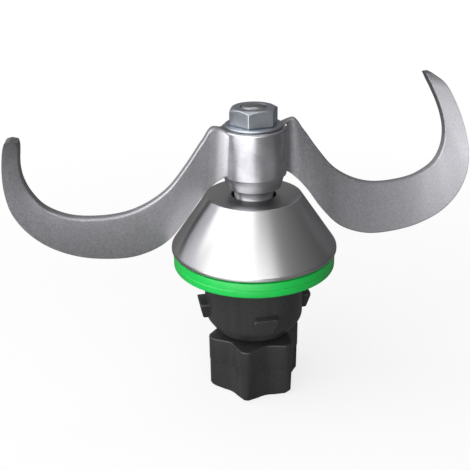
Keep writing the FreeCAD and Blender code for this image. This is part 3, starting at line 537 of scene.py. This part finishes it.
def arm_row(outer, inner, t, nearby=0.02):
    """One section across the arm, at index t of its stations. Where the arm leans, it is wider along Y."""
    side = Vector((0, 1, 0))
    a, b = spline(outer, t), spline(inner, t)
    low, high = max(t - nearby, 0), min(t + nearby, len(outer) - 1)
    ahead = (spline(outer, high) + spline(inner, high) - spline(outer, low) - spline(inner, low)) / 2
    normal = (b - a).cross(ahead).normalized()
    half = ARM_THICKNESS / max(abs(normal.dot(side)), LEAST_LEAN) / 2
    corners = []
    for edge, order in ((a, (-1, 1)), (b, (1, -1))):
        for way in order:
            radius = ROOT_FRONT if way > 0 else ROOT_REAR
            corners.append(edge + side * way * (half + root_flare(edge.x, way * edge.y + half, radius)))
    row = []
    for k, rounding in enumerate(ARM_EDGES):
        row += soft_corner(corners[k - 1], corners[k], corners[(k + 1) % 4], rounding)
    return row


def arm_mesh(degrees):
    """One arm, turned about the axis."""
    outer, inner = ([Vector((reach, offset, SEAM + height)) for reach, offset, height in edge]
                    for edge in zip(*DRAWN))
    rest = len(DRAWN) - 1 - ROOT_STATIONS
    places = [ROOT_STATIONS * j / ROOT_ROWS for j in range(ROOT_ROWS)]
    places += [ROOT_STATIONS + rest * j / ARM_ROWS for j in range(ARM_ROWS + 1)]
    rows = [arm_row(outer, inner, t) for t in places]
    size = len(rows), len(rows[0])
    turn = Matrix.Rotation(math.radians(degrees), 3, "Z")
    points = [turn @ p for row in rows for p in row]
    return mesh_from("arm", points, quads(*size, closed=False) + caps(*size))


def make_blade():
    """The hub and both arms, which run into it."""
    hub = lathe("hub", [(5.3, HUB_FOOT, 0.2), (HUB_RADIUS, HUB_FOOT, 0.3), (HUB_RADIUS, HUB_TOP, 0.8),
                        (5.3, HUB_TOP, 0.3)], steps=8)
    mesh = join_meshes("blade_mesh", [arm_mesh(ARM_ANGLE), arm_mesh(ARM_ANGLE + 180), hub])
    place_piece("blade_piece", mesh, "blade")


# Pieces turned on a lathe, nut and drive star.

def make_round_pieces():
    """Collar, washer, cone and seal ring, each from corners of (radius, height, rounding)."""
    place_piece("collar_piece", lathe("collar_piece", [
        (5.05, COLLAR_FOOT, 0.2), (8.3, COLLAR_FOOT, 0.25), (9.3, HUB_FOOT, 0.1), (5.05, HUB_FOOT, 0)]),
        "spacer_collar")
    place_piece("washer_piece", lathe("washer_piece", [
        (4.3, HUB_TOP, 0), (8.7, HUB_TOP, 0.4), (8.7, NUT_FOOT, 0.45), (4.3, NUT_FOOT, 0.1)]), "washer")
    place_piece("cone_piece", lathe("cone_piece", [
        (22.7, SEAM, 0), (25.5, SEAM, 0.1), (25.8, SEAM + 0.3, 0.2), (25.8, SEAM + 1.2, 1.5),
        (14.6, CONE_TOP, 0.5), (6.8, CONE_TOP, 0.4), (6.8, SEAM + 16, 0.1), (11, SEAM + 16, 0),
        (11, SEAM + 9.8, 0), (13, SEAM + 9.8, 0), (13, SEAM + 15, 0), (23.4, SEAM + 1.75, 0)],
        segments=192, steps=12, most=0.82), "cone_cover")
    place_piece("ring_piece", lathe("ring_piece", [
        (16.55, SEAM - 5.3, 0.1), (25.3, SEAM - 5.3, 0.6), (25.3, SEAM - 3.25, 0), (25, SEAM - 3.0, 0.05),
        (25.3, SEAM - 2.75, 0), (25.3, SEAM - 0.65, 0.3), (24.3, SEAM - 0.5, 0), (23.55, SEAM - 0.05, 0),
        (23.55, FLANGE_FOOT, 0), (16.55, FLANGE_FOOT, 0)], segments=192), "seal_ring")


def make_nut():
    """Low hexagon nut whose corners are cut by a cone."""
    across_flats = 13
    chamfer_radius = across_flats * 0.475
    slope = math.tan(math.radians(30))
    foot_share, shoulder_share = 0.96, 0.985
    hexagon = [around(across_flats / math.sqrt(3), NUT_ANGLE + 60 * k) for k in range(6)]
    corners = []
    for (x, y), (next_x, next_y) in zip(hexagon, hexagon[1:] + hexagon[:1]):
        corners.append((x, y, 0.35))
        corners += [(x + (next_x - x) * f, y + (next_y - y) * f, 0) for f in (0.2, 0.4, 0.6, 0.8)]
    outline = round_polygon(corners)

    def shoulder(p):
        return NUT_TOP - max(p.length - chamfer_radius, 0) * slope

    def under(p):
        return shoulder(p) - 0.15

    points, faces = loft([
        (ring_like(outline, STUD_BORE), NUT_FOOT), ([p * foot_share for p in outline], NUT_FOOT),
        (outline, NUT_FOOT + 0.3), (outline, under), ([p * shoulder_share for p in outline], shoulder),
        (ring_like(outline, chamfer_radius), NUT_TOP - 0.02), (ring_like(outline, chamfer_radius - 0.25), NUT_TOP),
        (ring_like(outline, STUD_BORE + 0.1), NUT_TOP), (ring_like(outline, STUD_BORE), NUT_TOP - 0.1),
    ])
    place_piece("nut_piece", mesh_from("nut_mesh", points, faces), "hex_nut", 20)


def star(tip, valley, tip_rounding, valley_rounding, half=1.3):
    """Six-point star, counter-clockwise, with tips of this half width."""
    lean = math.degrees(math.asin(half / tip))
    corners = []
    for k in range(6):
        angle = STAR_ANGLE + 60 * k
        corners.append((*around(tip, angle - lean), tip_rounding))
        corners.append((*around(tip, angle + lean), tip_rounding))
        corners.append((*around(valley, angle + 30), valley_rounding))
    return corners


def make_coupling():
    """Drive star: an upper band with V-shaped valleys over a body with hollow flanks."""
    band, top, neck_top = 10.6, 19.2, 25.3
    recess, recess_top, neck = 6.2, 7.8, 7.5
    edge = 0.42
    upper = star(15.4, 11.5, 2, 3.4)
    tip, valley, hollow = 15.28, 10.9, 8
    foot_reach = 13.78

    def drawn(corners):
        return round_polygon(corners, 8)

    def body(height, draw=0.0):
        """The lower body's outline, whose tips get narrower towards the foot and are cut off there."""
        share = min(height / band, 1) ** 0.7
        shape = star(tip, valley, 0.7 + 1.3 * share, hollow, 0.5 + 0.8 * share)
        reach = foot_reach + height
        return [p.normalized() * min(p.length, reach) for p in drawn(inset(shape, draw))]

    below, above = drawn(star(tip, valley, 2, hollow)), drawn(upper)
    rings = [(ring_like(below, STUD_BORE), recess_top), (ring_like(below, recess), recess_top),
             (ring_like(below, recess), 0.3), (ring_like(below, recess + 0.3), 0),
             (body(0, 0.3), 0), (body(0.08, 0.08), 0.08)]
    rings += [(body(height), height) for height in (0.3, 0.8, 1.3, 1.6, 2.5, 4, 6, 8, band - 0.02)]
    rings += [(drawn(inset(upper, 0.06)), band), (above, band + 0.15)]
    for j in range(6):
        angle = math.radians(90 * j / 5)
        rings.append((drawn(inset(upper, edge * (1 - math.cos(angle)))), top - edge * (1 - math.sin(angle))))
    rings += [(ring_like(above, neck), top), (ring_like(above, neck), neck_top),
              (ring_like(above, STUD_BORE), neck_top)]
    points, faces = loft(rings)
    place_piece("coupling_piece", mesh_from("coupling_mesh", points, faces), "drive_coupling", 30)


# Housing: barrel, lugs and the screws that hold the cone.

def lug():
    """One bayonet lug: a tapered trapezoid with rounded corners and edges, standing on the barrel."""
    top, foot = SEAM - 17, SEAM - 22.8
    outline = round_polygon([(-2.3, foot, 0.5), (2.3, foot, 0.5), (4.0, top - 0.6, 0.7), (3.2, top, 0.6),
                             (-3.2, top, 0.6), (-4.0, top - 0.6, 0.7)])
    middle = Vector((0, (top + foot) / 2))
    inside, foot_front, top_front, edge = -13.0, 17.1, 18.2, 0.45
    points = [(p.x, inside, p.y) for p in outline]
    for j in range(6):
        angle = math.radians(18 * j)
        back, draw = edge * (1 - math.sin(angle)), edge * (1 - math.cos(angle))
        for p in outline:
            away = p - middle
            q = middle + away * (1 - draw / away.length)
            front = foot_front + (top_front - foot_front) * (q.y - foot) / (top - foot)
            points.append((q.x, back - front, q.y))
    size = len(points) // len(outline), len(outline)
    return mesh_from("lug", points, quads(*size, closed=False) + caps(*size))


def make_housing():
    """Moulded barrel with flange, neck, bearing bore and four lugs."""
    bore, bore_foot, neck_top = 11.02, BARREL_FOOT + 3.2, SEAM + 9.6
    barrel = lathe("barrel", [
        (9.4, BARREL_FOOT, 0.3), (13, BARREL_FOOT, 0.6), (15.6, BARREL_FOOT + 3.8, 3.6), (16.4, FLANGE_FOOT, 0.3),
        (23.4, FLANGE_FOOT, 0.2), (23.4, SEAM, 0.2), (14.2, SEAM, 0), (14.2, neck_top, 0.2), (bore, neck_top, 0),
        (bore, bore_foot, 0), (9.4, bore_foot, 0)], steps=8)
    lugs = repeated("lugs", lug(), 4, LUG_ANGLE, "bearing_housing")
    place_piece("housing_piece", join_meshes("housing_mesh", [barrel, lugs]), "bearing_housing")


def cover_screw():
    """Countersunk screw with a hexagon socket, standing where the first one does."""
    from_middle = 19.4
    key = round_polygon([(*around(1.1, 60 * k), 0.1) for k in range(6)])
    rings = [(key, FLANGE_FOOT + 1), (key, FLANGE_FOOT)]
    for radius, height in ((2.68, 0), (2.8, 0.12), (1.5, 1.42), (1.5, 7.6), (1.1, 8)):
        rings.append((ring_like(key, radius), FLANGE_FOOT + height))
    points, faces = loft(rings, closed=False)
    return mesh_from("cover_screw", [(x + from_middle, y, z) for x, y, z in points], faces)


def make_cover_screws():
    mesh = repeated("cover_screws", cover_screw(), 3, LUG_ANGLE, "housing_screws")
    place_piece("cover_screws_piece", mesh, "housing_screws", 30)


# Pieces inside.

def make_balls():
    """Nine balls in each bearing."""
    count, radius, from_middle = 9, 1.55, 8
    for name, height in (("lower_balls", SEAM - 21), ("upper_balls", SEAM + 4.5)):
        work = bmesh.new()
        place = Matrix.Translation(Vector((from_middle, 0, height)) * MM)
        bmesh.ops.create_uvsphere(work, u_segments=32, v_segments=16, radius=radius * MM, matrix=place)
        ball = bpy.data.meshes.new("ball")
        work.to_mesh(ball)
        work.free()
        place_piece(name + "_piece", repeated(name, ball, count, 0, name), name, 30)


def reshape_stud_end(mesh):
    """Set the spindle's end face lower in the nut and make it wider, with a narrower chamfer."""
    face_above, chamfer_above = (SEAM + 44.85) * MM, (SEAM + 43.85) * MM
    face, chamfer, wider = (SEAM + 44.62) * MM, (SEAM + 44.3) * MM, 1.16
    for vertex in mesh.vertices:
        x, y, z = vertex.co
        if z > face_above:
            vertex.co = (x * wider, y * wider, face)
        elif z > chamfer_above:
            vertex.co.z = chamfer


def make_other_pieces():
    """The rest are copies of the CAD nodes, with their triangles joined and shaded smooth."""
    for members in RECORD["behaviour"]["bodies"].values():
        for name in members:
            if name in PLACED:
                continue
            work = bmesh.new()
            work.from_mesh(frame["nodes"][name].data)
            bmesh.ops.remove_doubles(work, verts=work.verts, dist=2 * MICRON)
            mesh = bpy.data.meshes.new(name + "_smooth")
            work.to_mesh(mesh)
            work.free()
            if name == "spindle":
                reshape_stud_end(mesh)
            place_piece(name + "_piece", mesh, name, 30)


dress_nodes()
make_blade()
make_round_pieces()
make_nut()
make_coupling()
make_housing()
make_cover_screws()
make_balls()
make_other_pieces()


# Floor, light and camera.

# The share of the white background that metal shows.
MIRRORED = 0.05

# The grey room that lights the object: axis of the direction, from, to, and the light at each end. They are added up.
ROOM = [
    ("X", -1.0, 1.0, 0.20, -0.06),
    ("X", -1.0, -0.5, 0.25, 0.0),
    ("Y", -1.0, 1.0, 0.09, -0.09),
    ("Z", 0.0, 1.0, 0.10, 0.30),
]

# Name, place, aim, width, height and power.
SOFTBOXES = [
    ("left_softbox", (-0.529, -0.177, 0.606), (-0.153, 0.166, 0.06), 1.35, 0.5, 4.9),
    ("low_softbox", (-0.185, -0.274, 0.085), (0, 0, 0.075), 0.52, 0.16, 0.75),
    ("front_softbox", (0.10, -0.50, 0.33), (0, 0, 0.07), 0.34, 0.26, 0.6),
    ("top_softbox", (0.05, 0.2, 0.8), (0, 0, 0.06), 0.5, 0.3, 0.5),
]

# Lit cards that lie on the floor and face up: name, place, width, height, power and turn in degrees.
CARDS = [
    ("far_card", (-0.1, -0.17, 0.002), 0.2, 0.12, 0.17, -28),
    ("near_card", (-0.01, -0.135, 0.002), 0.12, 0.05, 0.028, -6),
    ("right_card", (0.16, -0.17, 0.002), 0.26, 0.14, 0.034, 40),
]


def seen(tree):
    """How much of the white background a ray meets: the camera's own ray, or one off metal or through glass."""
    path = add_node(tree, "ShaderNodeLightPath").outputs
    bounced = calculated(tree, "ADD", path["Is Glossy Ray"], path["Is Transmission Ray"])
    return calculated(tree, "ADD", path["Is Camera Ray"], calculated(tree, "MULTIPLY", bounced, MIRRORED))


def make_stage():
    """A pale floor that fades to white away from the object and keeps its shadow. The object sees it darker."""
    half, below_foot = 6, 0.1 * MM
    fade_from, fade_to = -0.9, 0.28
    to_object, to_camera = 0.14, 0.9
    mesh = bpy.data.meshes.new("floor")
    mesh.from_pydata([(-half, -half, 0), (half, -half, 0), (half, half, 0), (-half, half, 0)], [], [(0, 1, 2, 3)])
    floor = bpy.data.objects.new("floor", mesh)
    SCENE.collection.objects.link(floor)
    floor.location = (0, 0, -below_foot)
    material = bpy.data.materials.new("floor")
    material.use_nodes = True
    tree = material.node_tree
    tree.nodes.clear()
    camera_ray = add_node(tree, "ShaderNodeLightPath").outputs["Is Camera Ray"]
    diffuse = add_node(tree, "ShaderNodeBsdfDiffuse", {"Color": between(tree, camera_ray, to_object, to_camera)})
    glow = add_node(tree, "ShaderNodeEmission")
    away = calculated(tree, "MULTIPLY", from_axis(tree, fade_from, fade_to), seen(tree))
    mix = add_node(tree, "ShaderNodeMixShader", {0: away, 1: diffuse.outputs[0], 2: glow.outputs[0]})
    add_node(tree, "ShaderNodeOutputMaterial", {0: mix.outputs[0]})
    mesh.materials.append(material)


def make_world():
    """White for the camera; for the object a grey room that is lighter overhead and on the left."""
    world = bpy.data.worlds.new("room")
    SCENE.world = world
    world.use_nodes = True
    tree = world.node_tree
    tree.nodes.clear()
    direction = split(tree, add_node(tree, "ShaderNodeTexCoord").outputs["Generated"])
    level = None
    for axis, *ends in ROOM:
        share = mapped(tree, direction[axis], *ends)
        level = calculated(tree, "ADD", level, share) if level else share
    room = add_node(tree, "ShaderNodeBackground", {"Color": level})
    white = add_node(tree, "ShaderNodeBackground", {"Color": (1, 1, 1, 1)})
    mix = add_node(tree, "ShaderNodeMixShader", {0: seen(tree), 1: room.outputs[0], 2: white.outputs[0]})
    add_node(tree, "ShaderNodeOutputWorld", {0: mix.outputs[0]})


def make_lamp(name, place, width, height, power):
    """A plain rectangular lamp."""
    lamp = bpy.data.lights.new(name, "AREA")
    lamp.shape = "RECTANGLE"
    lamp.size = width
    lamp.size_y = height
    lamp.energy = power
    item = bpy.data.objects.new(name, lamp)
    SCENE.collection.objects.link(item)
    item.location = place
    return item


def make_lamps():
    for name, place, aim, width, height, power in SOFTBOXES:
        ahead = Vector(aim) - Vector(place)
        make_lamp(name, place, width, height, power).rotation_euler = ahead.to_track_quat("-Z", "Y").to_euler()
    for name, place, width, height, power, turn in CARDS:
        make_lamp(name, place, width, height, power).rotation_euler = (math.pi, 0, math.radians(turn))


def make_camera():
    """The photograph's viewing angle, as measured from the round edges in it."""
    lens = bpy.data.cameras.new("camera")
    lens.sensor_width = 36
    lens.lens = 56.352
    lens.shift_x, lens.shift_y = 0.00143, 0.0030
    lens.clip_start = 0.01
    camera = bpy.data.objects.new("camera", lens)
    SCENE.collection.objects.link(camera)
    place = (-0.006122, -0.210798, 0.145918)
    pitch, roll = 0.41697, 0.013486
    ahead = Vector((0, math.cos(pitch), -math.sin(pitch)))
    right = Vector((1, 0, 0))
    down = ahead.cross(right)
    across = right * math.cos(roll) + down * math.sin(roll)
    below = down * math.cos(roll) - right * math.sin(roll)
    turn = Matrix((across, -below, -ahead)).transposed()
    camera.matrix_world = Matrix.Translation(place) @ turn.to_4x4()
    SCENE.camera = camera


make_stage()
make_world()
make_lamps()
make_camera()
SCENE.view_settings.view_transform = "Standard"
